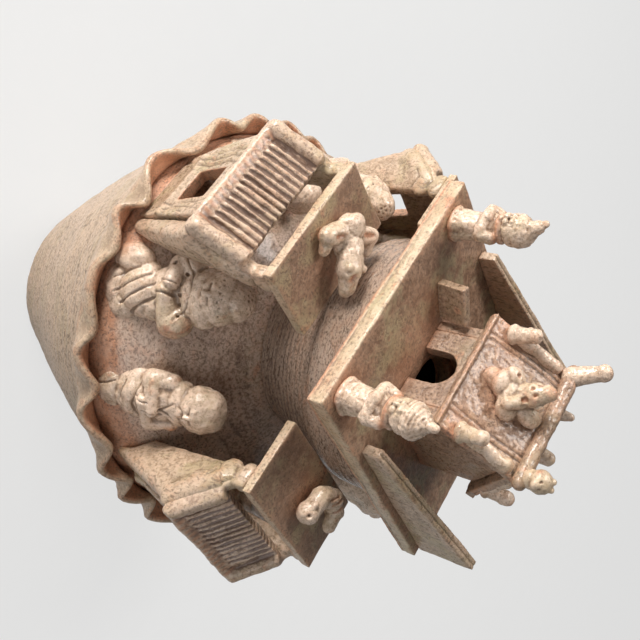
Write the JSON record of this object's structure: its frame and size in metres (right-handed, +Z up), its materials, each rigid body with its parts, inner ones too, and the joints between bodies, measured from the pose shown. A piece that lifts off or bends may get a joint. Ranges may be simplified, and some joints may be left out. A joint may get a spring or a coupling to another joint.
{
  "type": "hunping funerary jar",
  "caption": "Tall stoneware funerary jar with gate towers and attendants on the shoulder and a roofed pavilion on a square platform.",
  "frame": {"origin": "centre of the flat base, on the surface the jar stands on", "axes": "+Z up through the axis of the jar, front with the pavilion door and the two guards towards -Y"},
  "size_m": [0.3128, 0.3128, 0.4296],
  "materials": {
    "jar_glaze": "mottled grey olive ash glaze over orange stoneware, satin",
    "figure_glaze": "thick glossy beige glaze with dark specks over orange stoneware",
    "roof_glaze": "thin brown and cream glaze over orange stoneware, satin",
    "wall_glaze": "thin brown glaze with bare orange clay at the edges, satin"
  },
  "bodies": {
    "jar": {"back_left_small_attendant": "figure_glaze", "back_left_tall_attendant": "figure_glaze", "back_right_small_attendant": "figure_glaze", "back_right_tall_attendant": "figure_glaze", "back_tower_left_cheek": "wall_glaze", "back_tower_ribbed_roof": "roof_glaze", "back_tower_right_cheek": "wall_glaze", "back_tower_slab": "wall_glaze", "back_tower_slab_beast": "figure_glaze", "back_tower_window_wall": "wall_glaze", "front_left_small_attendant": "figure_glaze", "front_left_tall_attendant": "figure_glaze", "front_right_small_attendant": "figure_glaze", "front_right_tall_attendant": "figure_glaze", "front_tower_left_cheek": "wall_glaze", "front_tower_ribbed_roof": "roof_glaze", "front_tower_right_cheek": "wall_glaze", "front_tower_slab": "wall_glaze", "front_tower_slab_beast": "figure_glaze", "front_tower_window_wall": "wall_glaze", "jar_body": "jar_glaze", "jar_neck": "jar_glaze", "jar_shoulder": "jar_glaze", "left_gable_wall": "wall_glaze", "left_guard": "figure_glaze", "left_side_panel": "wall_glaze", "left_tower_left_cheek": "wall_glaze", "left_tower_ribbed_roof": "roof_glaze", "left_tower_right_cheek": "wall_glaze", "left_tower_slab": "wall_glaze", "left_tower_slab_beast": "figure_glaze", "left_tower_window_wall": "wall_glaze", "pavilion_back_wall": "wall_glaze", "pavilion_front_wall": "wall_glaze", "platform": "wall_glaze", "right_gable_wall": "wall_glaze", "right_guard": "figure_glaze", "right_side_panel": "wall_glaze", "right_tower_left_cheek": "wall_glaze", "right_tower_ribbed_roof": "roof_glaze", "right_tower_right_cheek": "wall_glaze", "right_tower_slab": "wall_glaze", "right_tower_slab_beast": "figure_glaze", "right_tower_window_wall": "wall_glaze", "shoulder_frill": "jar_glaze", "standing_tablet": "wall_glaze"},
    "lid": {"roof_lid": "roof_glaze", "roof_ridge": "roof_glaze", "left_ridge_horn": "figure_glaze", "right_ridge_beast": "figure_glaze", "front_verge_beasts": "figure_glaze", "back_verge_beasts": "figure_glaze", "verge_rolls": "roof_glaze", "front_roof_beast": "figure_glaze", "back_roof_beasts": "figure_glaze"}
  },
  "joints": [
    {"name": "lid_lift", "type": "slide", "parent": "jar", "child": "lid", "axis": [0, 0, 1], "range_m": [0, 0.08]}
  ]
}
